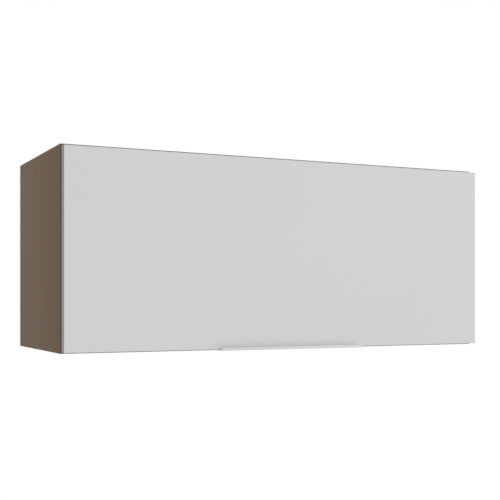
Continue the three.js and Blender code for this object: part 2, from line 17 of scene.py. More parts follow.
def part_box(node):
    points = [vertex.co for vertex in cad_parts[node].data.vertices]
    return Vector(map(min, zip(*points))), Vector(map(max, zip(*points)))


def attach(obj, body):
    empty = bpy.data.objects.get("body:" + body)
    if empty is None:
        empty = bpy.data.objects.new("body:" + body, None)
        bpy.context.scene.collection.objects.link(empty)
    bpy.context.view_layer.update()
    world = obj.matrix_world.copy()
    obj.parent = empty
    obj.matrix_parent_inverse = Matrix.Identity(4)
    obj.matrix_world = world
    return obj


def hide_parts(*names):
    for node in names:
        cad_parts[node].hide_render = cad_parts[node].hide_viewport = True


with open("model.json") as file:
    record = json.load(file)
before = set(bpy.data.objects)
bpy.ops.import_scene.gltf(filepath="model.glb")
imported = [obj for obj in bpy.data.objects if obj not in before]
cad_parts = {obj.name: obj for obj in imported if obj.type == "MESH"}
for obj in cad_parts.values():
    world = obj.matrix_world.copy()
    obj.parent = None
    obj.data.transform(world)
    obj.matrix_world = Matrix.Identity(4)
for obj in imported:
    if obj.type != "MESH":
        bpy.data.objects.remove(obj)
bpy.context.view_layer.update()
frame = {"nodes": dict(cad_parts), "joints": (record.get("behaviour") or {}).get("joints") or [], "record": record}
nodes = frame["nodes"]

# %% [markdown]
# ## Sizes
# Blender counts in metres and a cabinet maker in millimetres, so a size here is so many MM. The
# measures of the boards could be typed in again, but read from the solids they stay right when a
# board changes. A node's box gives its lowest and highest corner.

# %% Measure the solids
MM = 0.001
X, Y, Z = range(3)
SIDES = (("left", -1), ("right", 1))  # a side's name, and its way along X


def span(node, axis):
    low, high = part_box(node)
    return low[axis], high[axis]


BOX_HALF_WIDTH = span("side_panel_right", X)[1]
BOX_TOP = span("side_panel_left", Z)[1]
BOX_REAR = span("side_panel_left", Y)[1]
BOX_FRONT = span("front_band_left", Y)[0]
DOOR_FRONT, DOOR_BACK = span("door_panel", Y)
print(f"box {2 * BOX_HALF_WIDTH / MM:.0f} wide, {2 * BOX_TOP / MM:.0f} high, {-BOX_FRONT / MM:.0f} deep")
print(f"door {(DOOR_BACK - DOOR_FRONT) / MM:.1f} thick, {(BOX_FRONT - DOOR_BACK) / MM:.1f} off the box")

# %% [markdown]
# ## A short way to write nodes
# Materials and Geometry Nodes are both trees of nodes. A tree is easier to read when each node is
# one line that says what goes into it, so one helper makes a node, sets its values and links what
# comes from other nodes. A socket that joins several things gets them as a list.


# %% One helper for every node
def feed(tree, socket, value):
    if isinstance(value, list):
        for source in value:
            tree.links.new(source, socket)
    elif isinstance(value, bpy.types.NodeSocket):
        tree.links.new(value, socket)
    else:
        socket.default_value = value


def add(tree, kind, inputs=None, **settings):
    made = tree.nodes.new(kind)
    for key, value in settings.items():
        setattr(made, key, value)
    for key, value in (inputs or {}).items():
        feed(tree, made.inputs[key], value)
    return made


def maths(tree, operation, first, second=0.0):
    return add(tree, "ShaderNodeMath", {0: first, 1: second}, operation=operation).outputs[0]


def empty_tree(owner):
    owner.use_nodes = True
    owner.node_tree.nodes.clear()
    return owner.node_tree


print("a node is one line: add(tree, kind, inputs)")

# %% [markdown]
# ## Starting a finish
# A finish is one shader with its colour, roughness and bump fed by patterns. Values that are the
# same all over stay on the shader's own sockets. Patterns read Object coordinates, which are metres
# in the cabinet's own frame, so a grain of 2 mm is 2 mm everywhere and it moves with its piece.


# %% Start and end a finish
def new_finish(name, constants=None):
    finish = bpy.data.materials.new(name)
    tree = empty_tree(finish)
    skin = add(tree, "ShaderNodeBsdfPrincipled", constants)
    add(tree, "ShaderNodeOutputMaterial", {"Surface": skin.outputs["BSDF"]})
    place = add(tree, "ShaderNodeTexCoord").outputs["Object"]
    return finish, tree, skin, place


def cover(tree, skin, colour, rough, relief, depth, strength):
    bump = add(tree, "ShaderNodeBump", {"Height": relief, "Distance": depth, "Strength": strength})
    feed(tree, skin.inputs["Base Color"], colour)
    feed(tree, skin.inputs["Roughness"], rough)
    feed(tree, skin.inputs["Normal"], bump.outputs["Normal"])


print("a finish starts with its shader and ends with colour, roughness and relief")

# %% [markdown]
# ## Patterns
# Nearly every surface of a real cabinet can be told by a few patterns: noise for what is cloudy or
# fibrous, cells for what is made of flakes, and coordinates stretched along one way for what has a
# direction. A ramp turns a pattern into shades. Scales are in cycles per metre.


# %% Patterns and places
def stretched(tree, place, scale):
    return add(tree, "ShaderNodeMapping", {"Vector": place, "Scale": scale}).outputs["Vector"]


def axis_of(tree, place, axis):
    return add(tree, "ShaderNodeSeparateXYZ", {"Vector": place}).outputs[axis]


def noise(tree, place, scale, detail=2.0, roughness=0.5):
    inputs = {"Vector": place, "Scale": scale, "Detail": detail, "Roughness": roughness}
    return add(tree, "ShaderNodeTexNoise", inputs).outputs[0]


def flakes(tree, place, scale):
    cells = add(tree, "ShaderNodeTexVoronoi", {"Vector": place, "Scale": scale}).outputs["Color"]
    return add(tree, "ShaderNodeRGBToBW", {"Color": cells}).outputs[0]


def between(tree, value, low, high, start=0.0, end=1.0):
    inputs = {"Value": value, "From Min": start, "From Max": end, "To Min": low, "To Max": high}
    return add(tree, "ShaderNodeMapRange", inputs).outputs["Result"]


print("patterns: noise and flakes, over the whole piece or stretched one way")

# %% [markdown]
# ## Shades
# A stop of a ramp is a place and a shade, and a shade is a colour or, as one number, a grey. Dark
# streaks are laid over a tone by multiplying, as a glaze does, so that the tone below still shows.

# %% Shades and glazes
MIX_AMOUNT, MIX_FIRST, MIX_SECOND = 0, 6, 7  # the sockets of a Mix node that mixes colours


def opaque(shade):
    return (*shade, 1) if isinstance(shade, tuple) else (shade, shade, shade, 1)


def times(colour, factor):
    return tuple(min(1.0, channel * factor) for channel in colour)


def ramp(tree, value, stops):
    made = add(tree, "ShaderNodeValToRGB", {"Fac": value})
    bar = made.color_ramp
    while len(bar.elements) < len(stops):
        bar.elements.new(0.5)
    for element, (at, shade) in zip(bar.elements, stops):
        element.position = at
        element.color = opaque(shade)
    return made.outputs["Color"]


def blend_colours(tree, amount, first, second, mode="MIX"):
    colours = {MIX_FIRST: first, MIX_SECOND: second}
    inputs = {key: opaque(value) if isinstance(value, tuple) else value for key, value in colours.items()}
    made = add(tree, "ShaderNodeMix", {MIX_AMOUNT: amount, **inputs}, data_type="RGBA", blend_type=mode)
    return made.outputs[2]


def glazed(tree, tone, glaze, weight=1.0):
    return blend_colours(tree, weight, tone, glaze, "MULTIPLY")


print("shades are laid over each other by glazed()")

# %% [markdown]
# ## Wood decor
# The boards are chipboard with a printed foil pressed on. The print is a brown-grey wood with its
# grain upright on the sides and lengthwise on the long boards. A photograph of wood would give the
# same look, but then it would be a picture wrapped on a box; noise drawn out along the grain can
# be made at any size and has no seam. On the boards the colour also carries painted light and shade:
# lighter and bluer-grey towards the wall, darker and warmer towards the front. The edge bands are a
# print of their own, a little yellower than the foil, and the upright bands are painted darker still
# as painted shade of the gap beside the door.

# %% Tones of the decor
DECOR_TONES = (
    (0.30, (0.231, 0.136, 0.075)),
    (0.50, (0.261, 0.160, 0.092)),
    (0.72, (0.288, 0.182, 0.108)),
)
BAND_TONES = (
    (0.30, (0.241, 0.144, 0.070)),
    (0.50, (0.270, 0.165, 0.082)),
    (0.72, (0.292, 0.181, 0.093)),
)
# painted shade: the upright bands are darker than the long ones, for the shade in the gap beside the door
SHADED_UPRIGHT_BAND_TONES = (
    (0.30, (0.188, 0.112, 0.053)),
    (0.50, (0.210, 0.128, 0.062)),
    (0.72, (0.226, 0.141, 0.070)),
)
STREAK_SHADES = ((0.30, 0.88), (0.62, 1.04))
PORE_SHADES = ((0.60, 1.0), (0.74, 0.80))
# painted light and shade along the depth: darker and warmer at the front, lighter and bluer at the wall
PAINTED_FRONT_SHADE = (0.955, 0.865, 0.755)
PAINTED_WALL_LIGHT = (1.055, 1.14, 1.28)
PAINTED_SHADING_START, PAINTED_SHADING_END = -300 * MM, -20 * MM  # places along Y
print("foil from", DECOR_TONES[0][1], "to", DECOR_TONES[-1][1])
print("bands from", BAND_TONES[0][1], "to", BAND_TONES[-1][1])

# %% [markdown]
# ## Grain and cut faces
# A grain is never ruler-straight. The coordinates are drawn out along it and then pushed sideways
# by a slow noise, and everything that reads them wanders together. Where a board's end or rear edge
# carries no band, the chips of its core show, which is how one can tell such a board from solid
# wood. The cut faces need no second material, because their place in the cabinet gives them away.

# %% Grain and cut faces
ALONG = 0.035  # how much slower the pattern changes along the grain
BEND = 35 * MM  # how far the grain wanders
BEND_SCALE = 9.0
CUT_REACH = 0.1 * MM  # a face this near to a board's end is its cut
CHIP_SCALE = 620.0
CHIP_ROUGHNESS = 0.85
CHIP_TONES = (
    (0.25, (0.25, 0.17, 0.10)),
    (0.55, (0.47, 0.36, 0.24)),
    (0.80, (0.62, 0.50, 0.36)),
)


def grain_place(tree, place, grain):
    drawn = stretched(tree, place, tuple(ALONG if axis == grain else 1.0 for axis in "XYZ"))
    wander = add(tree, "ShaderNodeTexNoise", {"Vector": drawn, "Scale": BEND_SCALE}).outputs["Color"]
    push = add(tree, "ShaderNodeVectorMath", {0: wander, 1: (BEND, BEND, BEND)}, operation="MULTIPLY")
    return add(tree, "ShaderNodeVectorMath", {0: drawn, 1: push.outputs[0]}, operation="ADD").outputs[0]


# painted light and shade: the colour is multiplied from darker and warmer at the front to lighter and bluer at the
# wall
def painted_depth_shading(tree, place):
    depth = between(tree, axis_of(tree, place, "Y"), 0.0, 1.0, PAINTED_SHADING_START, PAINTED_SHADING_END)
    return blend_colours(tree, depth, PAINTED_FRONT_SHADE, PAINTED_WALL_LIGHT)


def cut_faces(tree, place, raw_ends):
    cut = maths(tree, "GREATER_THAN", axis_of(tree, place, "Y"), BOX_REAR - CUT_REACH)
    if raw_ends:
        height = maths(tree, "ABSOLUTE", axis_of(tree, place, "Z"))
        cut = maths(tree, "MAXIMUM", maths(tree, "GREATER_THAN", height, BOX_TOP - CUT_REACH), cut)
    return cut


print(f"the grain wanders by up to {BEND / MM:.0f} mm, chips are about {1 / CHIP_SCALE / MM:.1f} mm")

# %% [markdown]
# ## The decor's layers
# Three layers make the print: broad bands that change the tone, fine streaks, and short dark pores.
# On a board, painted light and shade from the wall to the front lies over them. The streaks also
# change the gloss, and the pores are pressed in, so a light that rakes along the board finds them.
# A band has the same layers, but no cut faces and no painted shading from the wall to the front.

# %% Make the decor
SATIN = 0.15  # how much the foil reflects
FOIL_ROUGHNESS = (0.50, 0.64)
PORE_DEPTH = 0.06 * MM


def wood_decor(name, grain, tones, board=False, raw_ends=False):
    finish, tree, skin, place = new_finish(name, {"Specular IOR Level": SATIN})
    along = grain_place(tree, place, grain)
    broad = noise(tree, along, scale=34.0, detail=3.0, roughness=0.55)
    streaks = noise(tree, along, scale=260.0, detail=4.0, roughness=0.62)
    pores = noise(tree, along, scale=1100.0, detail=1.0)
    tone = ramp(tree, broad, tones)
    if board:
        # painted light and shade along the board's depth
        tone = glazed(tree, tone, painted_depth_shading(tree, place))
    tone = glazed(tree, tone, ramp(tree, streaks, STREAK_SHADES), weight=0.85)
    tone = glazed(tree, tone, ramp(tree, pores, PORE_SHADES), weight=0.7)
    rough = between(tree, streaks, *FOIL_ROUGHNESS)
    if board:
        cut = cut_faces(tree, place, raw_ends)
        tone = blend_colours(tree, cut, tone, ramp(tree, flakes(tree, place, CHIP_SCALE), CHIP_TONES))
        rough = maths(tree, "MAXIMUM", rough, maths(tree, "MULTIPLY", cut, CHIP_ROUGHNESS))
    cover(tree, skin, tone, rough, relief=pores, depth=PORE_DEPTH, strength=0.5)
    return finish


decor_upright = wood_decor("wood decor, grain upright", "Z", DECOR_TONES, board=True, raw_ends=True)
decor_lengthwise = wood_decor("wood decor, grain lengthwise", "X", DECOR_TONES, board=True)
# the upright bands take darker tones: painted shade of the gap beside the door
band_upright_shaded = wood_decor("decor band, upright", "Z", SHADED_UPRIGHT_BAND_TONES)
band_lengthwise = wood_decor("decor band, lengthwise", "X", BAND_TONES)
for finish in (decor_upright, decor_lengthwise, band_upright_shaded, band_lengthwise):
    print(finish.name, "has", len(finish.node_tree.nodes), "nodes")

# %% [markdown]
# ## Pale melamine
# The door is chipboard too, with a plain light grey melamine face. At arm's length it is even and
# satin; close up it has a fine pearl texture from the press plate. One flat colour would pass from
# across a room, but near the camera it looks like paper. The colour here is nearly flat, with a
# drift too small to see as a pattern, and most of its life comes from roughness and bump. The edge
# band is the same white, painted a little lighter and bluer than the face as painted light of the
# lit edge.

# %% Pale melamine
DOOR_SHADE = (0.655, 0.655, 0.655)
# painted light: the edge band is a little lighter and bluer than the face, as the lit edge looks
DOOR_BAND_PAINTED_LIGHT = (0.662, 0.668, 0.672)
DOOR_SHEEN = 0.1  # how much the melamine reflects
DOOR_ROUGHNESS = (0.40, 0.52)
DRIFT_FACTORS = ((0.3, 0.992), (0.7, 1.006))
SPECK_SHADES = ((0.3, 0.985), (0.7, 1.0))
PEARL_DEPTH = 0.04 * MM


def pale_melamine(name, shade):
    finish, tree, skin, place = new_finish(name, {"Specular IOR Level": DOOR_SHEEN})
    drift = noise(tree, place, scale=3.0, detail=1.0)
    speck = noise(tree, place, scale=900.0, roughness=0.6)
    pearl = noise(tree, place, scale=1500.0)
    soft = ramp(tree, drift, [(at, times(shade, factor)) for at, factor in DRIFT_FACTORS])
    tone = glazed(tree, soft, ramp(tree, speck, SPECK_SHADES))
    rough = between(tree, speck, *DOOR_ROUGHNESS)
    cover(tree, skin, tone, rough, relief=pearl, depth=PEARL_DEPTH, strength=0.35)
    return finish


door_face = pale_melamine("pale melamine", DOOR_SHADE)
door_band = pale_melamine("pale edge band", DOOR_BAND_PAINTED_LIGHT)
print("door finishes:", door_face.name, "and", door_band.name)

# %% [markdown]
# ## Hardboard
# The back is 3 mm fibreboard. Its inner face is printed like the boards and its outer face, which
# lies on the wall, is raw: brown, matted fibres with darker flecks. Two materials on two faces
# would do, but the solid is one piece, so one material tells the faces apart by their depth.

# %% Hardboard
RAW_TONES = ((0.30, (0.235, 0.140, 0.072)), (0.55, (0.385, 0.250, 0.145)), (0.75, (0.500, 0.350, 0.215)))
PRINT_TONES = ((0.3, (0.272, 0.180, 0.112)), (0.7, (0.338, 0.234, 0.156)))
CLOUD_SHADES = ((0.3, 0.86), (0.7, 1.0))
FIBRE_ROUGHNESS = (0.62, 0.88)
FIBRE_DEPTH = 0.08 * MM
MATTED = 0.35  # how much slower the fibres change along Z
PRINTED_FACE = span("back_panel", Y)[0] + CUT_REACH  # what lies in front of this is printed


def hardboard(name):
    finish, tree, skin, place = new_finish(name)
    matted = stretched(tree, place, (1.0, 1.0, MATTED))
    grained = stretched(tree, place, (1.0, 1.0, ALONG))
    fibres = noise(tree, matted, scale=420.0, detail=5.0, roughness=0.7)
    clouds = noise(tree, place, scale=11.0)
    raw = glazed(tree, ramp(tree, fibres, RAW_TONES), ramp(tree, clouds, CLOUD_SHADES), weight=0.5)
    streaks = noise(tree, grained, scale=160.0, detail=4.0, roughness=0.6)
    inner = maths(tree, "LESS_THAN", axis_of(tree, place, "Y"), PRINTED_FACE)
    tone = blend_colours(tree, inner, raw, ramp(tree, streaks, PRINT_TONES))
    rough = between(tree, fibres, *FIBRE_ROUGHNESS)
    cover(tree, skin, tone, rough, relief=fibres, depth=FIBRE_DEPTH, strength=0.5)
    return finish


fibreboard = hardboard("fibreboard back")
print(f"the back is printed in front of {PRINTED_FACE / MM:.1f} mm and raw behind it")

# %% [markdown]
# ## Metals
# The pull is satin anodised aluminium with the faint lines of extrusion along its length. The
# hinges are nickel-plated, the cam locks, screws and brackets zinc-plated, and the strut's rod is
# hard chrome. Each could have a tree of its own, but one function with a few values shows better in
# what they differ: how sharply they reflect, and what breaks the reflection up, which is lines, the
# flakes of a zinc coat, or a slight orange peel.


# %% Metals
def drifting(tree, pattern, colour, drift, margin):
    low, high = times(colour, 1 - drift), times(colour, 1 + drift)
    return ramp(tree, pattern, ((margin, low), (1 - margin, high)))


def metal(name, colour, rough, scale, lines=(1, 1, 1), depth=0.02 * MM, drift=0.06, flaky=False):
    finish, tree, skin, place = new_finish(name, {"Metallic": 1.0})
    drawn = stretched(tree, place, lines)
    pattern = flakes(tree, drawn, scale) if flaky else noise(tree, drawn, scale, detail=3.0, roughness=0.6)
    tone = drifting(tree, pattern, colour, drift, margin=0.2)
    gloss = between(tree, pattern, 0.8 * rough, 1.25 * rough)
    cover(tree, skin, tone, gloss, pattern, depth, strength=0.4)
    return finish


EXTRUDED = (0.012, 1, 1)  # lines along the length
anodised = metal("satin anodised aluminium", (0.55, 0.555, 0.56), rough=0.38, scale=900.0, lines=EXTRUDED)
nickel = metal("nickel plate", (0.66, 0.64, 0.60), rough=0.20, scale=260.0)
zinc = metal("zinc plate", (0.56, 0.585, 0.61), rough=0.36, scale=700.0, drift=0.10, flaky=True)
chrome = metal("hard chrome", (0.74, 0.75, 0.76), rough=0.07, scale=1200.0, depth=0.004 * MM, drift=0.02)
print("metals:", ", ".join(finish.name for finish in (anodised, nickel, zinc, chrome)))

# %% [markdown]
# ## Plastics and enamel
# The strut's tube is enamelled steel and its ball sockets are moulded nylon; the pads that the door
# closes on are clear and soft. One dark plastic would pass for the first two in the shade of the
# box, but gloss is what tells enamel from nylon. None of the three has a grain, so one noise gives
# them their slight unevenness, and a thin clear coat keeps the enamel's gloss apart from its relief.


# %% Plastics, enamel and the soft pads
def moulded(name, colour, rough, scale, depth=0.02 * MM, coat=0.0, drift=0.15):
    finish, tree, skin, place = new_finish(name, {"Coat Weight": coat})
    pattern = noise(tree, place, scale, detail=3.0, roughness=0.55)
    tone = drifting(tree, pattern, colour, drift, margin=0.3)
    gloss = between(tree, pattern, 0.85 * rough, 1.15 * rough)
    cover(tree, skin, tone, gloss, pattern, depth, strength=0.5)
    return finish


enamel = moulded("dark grey enamel", (0.034, 0.038, 0.044), rough=0.34, scale=500.0, coat=0.25)
nylon = moulded("black nylon", (0.014, 0.014, 0.016), rough=0.52, scale=1400.0, depth=0.03 * MM)
soft_pad = moulded("clear soft pad", (0.62, 0.64, 0.65), rough=0.42, scale=300.0, drift=0.03)
print("plastics:", ", ".join(finish.name for finish in (enamel, nylon, soft_pad)))

# %% [markdown]
# ## Dressing the solids
# Each solid that has the right shape stays as it is and only changes its finish. The name says
# what a piece is, so one list of beginnings gives every solid its material. The first that fits
# counts, so longer beginnings stand before shorter ones, and zinc takes what is left.

# %% Give each solid its finish
FINISHES = (
    ("side_panel", decor_upright),
    ("top_panel", decor_lengthwise),
    ("bottom_panel", decor_lengthwise),
    ("hanging_rail", decor_lengthwise),
    ("front_band_left", band_upright_shaded),
    ("front_band_right", band_upright_shaded),
    ("front_band", band_lengthwise),
    ("back_panel", fibreboard),
    ("door_panel", door_face),
    ("door_band", door_band),
    ("door_bumper", soft_pad),
    ("pull_profile", anodised),
    ("strut_tube_socket", nylon),
    ("strut_rod_socket", nylon),
    ("strut_tube", enamel),
    ("strut_rod", chrome),
    ("hinge_cup_screw", zinc),
    ("hinge_plate_screw", zinc),
    ("hinge_arm_screw", zinc),
    ("hinge", nickel),
    ("", zinc),
)


def dress(piece, finish):
    piece.data.materials.clear()
    piece.data.materials.append(finish)


for name, piece in nodes.items():
    dress(piece, next(finish for start, finish in FINISHES if name.startswith(start)))
print("dressed", len(nodes), "solids in", len({finish.name for _, finish in FINISHES}), "finishes")

# %% [markdown]
# ## A copy that stands for a solid
# A solid's mesh is loose triangles, each with normals of its own, and it is left alone. A piece that
# needs a finer look gets a copy whose triangles are merged into one skin. The copy rides on the same
# body, takes over the solid's material slot, and the solid is hidden behind it.

# %% Merge a copy of a solid
BODY_OF = {node: body for body, held in frame["record"]["behaviour"]["bodies"].items() for node in held}
LOOSE_LAYERS = ("custom_normal", "sharp_edge", "sharp_face")  # what keeps the triangles apart
SAME_POINT = 0.001 * MM
SAME_PLANE = 0.01 * MM


def new_object(name, data):
    made = bpy.data.objects.new(name, data)
    bpy.context.scene.collection.objects.link(made)
    return made


def stand_in(node, suffix, reshape=None):
    mesh = nodes[node].data.copy()
    for layer in LOOSE_LAYERS:
        if layer in mesh.attributes:
            mesh.attributes.remove(mesh.attributes[layer])
    piece = new_object(f"{node}_{suffix}", mesh)
    form = bmesh.new()
    form.from_mesh(mesh)
    bmesh.ops.remove_doubles(form, verts=form.verts, dist=SAME_POINT)
    if reshape:
        reshape(form)
    form.to_mesh(mesh)
    form.free()
    mesh.shade_flat()
    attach(piece, BODY_OF[node])
    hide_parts(node)
    return piece


def move_plane(form, axis, at, by):
    held = [v for v in form.verts if abs(v.co[axis] - at) < SAME_PLANE]
    for v in held:
        v.co[axis] += by
    return len(held)


print(len(BODY_OF), "solids know their body and their slot")

# %% [markdown]
# ## Rounded edge bands
# An edge band is a strip of plastic that is glued on and then scraped, which leaves a small radius
# along its outer edges. It is what catches the light round a door. A bevel on the whole box would
# also round the joint to the board, so only the edges on the outside are rounded: those whose two
# ends both lie on the band's outer face. The glue closes the hair's breadth that the solids keep
# between a band and its board, and the box's long bands grow by as much to meet the upright ones.

# %% Round the outer edges of the bands
SEAM = 0.2 * MM  # what the solids keep between glued pieces
GLUE_LINE = SEAM - SAME_PLANE  # how much of it the glue fills
BAND_RADIUS = 0.25 * MM
FLAT_TURN = 0.02  # radians, below which two triangles are one face
DOOR_EDGES = (("left", X, -1), ("right", X, 1), ("top", Z, 1), ("bottom", Z, -1))  # name, axis, way


def rounded_band(node, axis, way, fills_corners=False):
    def reshape(form):
        bmesh.ops.dissolve_limit(form, angle_limit=FLAT_TURN, verts=form.verts, edges=form.edges)
        glued = min(way * v.co[axis] for v in form.verts)
        face = max(way * v.co[axis] for v in form.verts)
        move_plane(form, axis, way * glued, -way * GLUE_LINE)
        if fills_corners:
            end = max(v.co.x for v in form.verts)
            move_plane(form, X, end, GLUE_LINE)
            move_plane(form, X, -end, -GLUE_LINE)
        outer = [e for e in form.edges if all(abs(way * v.co[axis] - face) < SAME_PLANE for v in e.verts)]
        bmesh.ops.bevel(form, geom=outer, offset=BAND_RADIUS, segments=3, profile=0.5, affect="EDGES",
                        clamp_overlap=True)
    return stand_in(node, "rounded", reshape)


bands = [rounded_band(f"door_band_{edge}", axis, way) for edge, axis, way in DOOR_EDGES]
bands += [rounded_band(f"front_band_{edge}", Y, -1) for edge in ("left", "right")]
bands += [rounded_band(f"front_band_{edge}", Y, -1, fills_corners=True) for edge in ("top", "bottom")]
print("rounded", len(bands), "bands, up to", max(len(band.data.polygons) for band in bands), "faces each")

# %% [markdown]
# ## Smooth hardware
# Turned and pressed pieces are round, while their solids have flats, as many as a simulation needs.
# A finer mesh would round them, and on a piece as small as a hinge cup it is enough to blend the
# normals across the flats. Edges that turn by more than a set angle keep their line, so rims and
# slots stay crisp.

# %% Blend the flats of small pieces
SMALL_HARDWARE = ("hinge_cup", "hinge_pin", "hinge_arm", "hinge_plate_screw", "cam_lock", "pull_screw",
                  "strut_tube_socket", "strut_rod_socket", "strut_wall_bracket", "strut_door_bracket",
                  "door_bumper")
KEPT_EDGE = math.radians(33)


def blend_flats(mesh, kept_edge=KEPT_EDGE):
    mesh.shade_smooth()
    mesh.set_sharp_from_angle(angle=kept_edge)


small_pieces = [stand_in(node, "smooth") for node in sorted(nodes) if node.startswith(SMALL_HARDWARE)]
for piece in small_pieces:
    blend_flats(piece.data)
print("blended the flats of", len(small_pieces), "pieces")

# %% [markdown]
# ## The pull
# The pull is an extruded profile, sawn to length and screwed on tight, so its floor touches the
# door's edge and its flange touches the door's back. Its solid keeps a seam to both. It could be
# drawn again from its section, but moving the two faces that touch is enough. Its lip has a
# rounded top and foot, which are blended like the hardware.

# %% Seat the pull
FLOOR_TOP = span("door_band_bottom", Z)[0] - SEAM
FLANGE_FACE = DOOR_BACK + SEAM


def seat_pull(form):
    floor_points = move_plane(form, Z, FLOOR_TOP, GLUE_LINE)
    flange_points = move_plane(form, Y, FLANGE_FACE, -GLUE_LINE)
    print("seated the pull by", floor_points, "points of its floor and", flange_points, "of its flange")


pull = stand_in("pull_profile", "seated", seat_pull)
blend_flats(pull.data)
print(f"pull {pull.dimensions.x / MM:.0f} mm long")

# %% [markdown]
# ## Turning Geometry Nodes into plain pieces
# What repeats is made by Geometry Nodes: a tree with named sizes that can be changed in one place.
# The finished row becomes a plain mesh, one for each body, because the export knows only meshes.


# %% Start a tree, and turn its result into a piece
def new_tree(name, sizes):
    tree = bpy.data.node_groups.new(name, "GeometryNodeTree")
    tree.interface.new_socket("Geometry", in_out="INPUT", socket_type="NodeSocketGeometry")
    tree.interface.new_socket("Geometry", in_out="OUTPUT", socket_type="NodeSocketGeometry")
    for label in sizes:
        tree.interface.new_socket(label, in_out="INPUT", socket_type="NodeSocketFloat")
    tree.interface.new_socket("Finish", in_out="INPUT", socket_type="NodeSocketMaterial")
    given = tree.nodes.new("NodeGroupInput").outputs
    result = tree.nodes.new("NodeGroupOutput").inputs
    return tree, given, result


def close_tree(tree, given, result, instances):
    real = add(tree, "GeometryNodeRealizeInstances", {"Geometry": instances}).outputs["Geometry"]
    done = add(tree, "GeometryNodeSetMaterial", {"Geometry": real, "Material": given["Finish"]})
    feed(tree, result["Geometry"], done.outputs["Geometry"])
    print(f"tree '{tree.name}' has {len(tree.nodes)} nodes")


def grown(name, tree, sizes, finish, body, start=None):
    seed = new_object(name + "_seed", start or bpy.data.meshes.new(name + "_start"))
    modifier = seed.modifiers.new("grow", "NODES")
    modifier.node_group = tree
    sockets = {s.name: s.identifier for s in tree.interface.items_tree if s.in_out == "INPUT"}
    for label, value in {**sizes, "Finish": finish}.items():
        modifier[sockets[label]] = value
    shown = bpy.context.evaluated_depsgraph_get()
    mesh = bpy.data.meshes.new_from_object(seed.evaluated_get(shown))
    mesh.name = name
    seed.modifiers.remove(modifier)
    bpy.data.objects.remove(seed)
    piece = new_object(name, mesh)
    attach(piece, body)
    print(f"{name}: {len(mesh.polygons)} faces on {body}")


print("a tree is opened with its sizes, closed with its finish, and grown on a body")

# %% [markdown]
# ## Nails of the back
# The hardboard is nailed to the edges of the box all the way round. Nails set one by one would all
# have to move if the box changed. Here the row follows a rectangle that runs down the middle of the
# boards, so the rectangle is the tree's curve and the spacing is one of its sizes. A nail's head is
# a low cone on a round foot, sunk nearly flush.

# %% Nail row
BOARD = span("side_panel_left", X)[1] - span("side_panel_left", X)[0]
NAIL_TAPER = 0.8  # the top of a nail's head, as a share of its foot
QUARTER = math.pi / 2
NAIL_ROW = {
    "Width": 2 * BOX_HALF_WIDTH - BOARD,
    "Height": 2 * BOX_TOP - BOARD,
    "Spacing": 78 * MM,
    "Head Radius": 2.2 * MM,
    "Head Rise": 0.35 * MM,
}
tree, given, result = new_tree("nails round a rectangle", NAIL_ROW)
path = add(tree, "GeometryNodeCurvePrimitiveQuadrilateral",
           {"Width": given["Width"], "Height": given["Height"]}).outputs["Curve"]
upright = add(tree, "GeometryNodeTransform",
              {"Geometry": path, "Rotation": (QUARTER, 0, 0)}).outputs["Geometry"]
stops = add(tree, "GeometryNodeResampleCurve",
            {"Curve": upright, "Length": given["Spacing"]}, mode="LENGTH").outputs["Curve"]
nail_head = add(tree, "GeometryNodeMeshCone",
                {"Vertices": 12, "Radius Top": maths(tree, "MULTIPLY", given["Head Radius"], NAIL_TAPER),
                 "Radius Bottom": given["Head Radius"], "Depth": given["Head Rise"]}).outputs["Mesh"]
nails = add(tree, "GeometryNodeInstanceOnPoints",
            {"Points": stops, "Instance": nail_head, "Rotation": (-QUARTER, 0, 0)}).outputs["Instances"]
close_tree(tree, given, result, nails)
grown("back_nails", tree, NAIL_ROW, zinc, "carcass")

# %% [markdown]
# ## A cross-slot screw
# The brackets of the struts and the angle plates are each held by small screws with a cross slot.
# A screw could be copied by hand to every hole; here one tree makes it once, from named sizes. The
# cross is cut out of the head by a boolean of two blocks, and the exact solver keeps the cut closed.

# %% Shape of the screw
HEAD_TAPER = 0.62  # the top of the head, as a share of its foot
SLOT_WIDTH = 0.24  # as a share of the head's radius
SHANK_DROP = 0.49  # from the head's foot to the shank's middle, as a share of the shank
SCREW = {
    "Head Radius": 3.2 * MM,
    "Head Height": 1.4 * MM,
    "Shank Radius": 1.6 * MM,
    "Shank Length": 5 * MM,
}
tree, given, result = new_tree("cross-slot screws", SCREW)
radius, height = given["Head Radius"], given["Head Height"]


def raised(tree, geometry, by):
    lift = add(tree, "ShaderNodeCombineXYZ", {"Z": by}).outputs[0]
    inputs = {"Geometry": geometry, "Translation": lift}
    return add(tree, "GeometryNodeTransform", inputs).outputs["Geometry"]


def cutter(tree, x, y, z):
    size = add(tree, "ShaderNodeCombineXYZ", {"X": x, "Y": y, "Z": z}).outputs[0]
    return raised(tree, add(tree, "GeometryNodeMeshCube", {"Size": size}).outputs["Mesh"], z)


head = add(tree, "GeometryNodeMeshCone",
           {"Vertices": 16, "Radius Top": maths(tree, "MULTIPLY", radius, HEAD_TAPER),
            "Radius Bottom": radius, "Depth": height}).outputs["Mesh"]
narrow = maths(tree, "MULTIPLY", radius, SLOT_WIDTH)
cutters = [cutter(tree, radius, narrow, height), cutter(tree, narrow, radius, height)]
cross = add(tree, "GeometryNodeMeshBoolean", {"Mesh 1": head, "Mesh 2": cutters},
            operation="DIFFERENCE", solver="EXACT").outputs["Mesh"]
shank = add(tree, "GeometryNodeMeshCylinder",
            {"Vertices": 10, "Radius": given["Shank Radius"],
             "Depth": given["Shank Length"]}).outputs["Mesh"]
sunk = raised(tree, shank, maths(tree, "MULTIPLY", given["Shank Length"], -SHANK_DROP))
screw = add(tree, "GeometryNodeJoinGeometry", {"Geometry": [sunk, cross]}).outputs["Geometry"]
print("one screw:", ", ".join(f"{label} {size / MM:.1f} mm" for label, size in SCREW.items()))

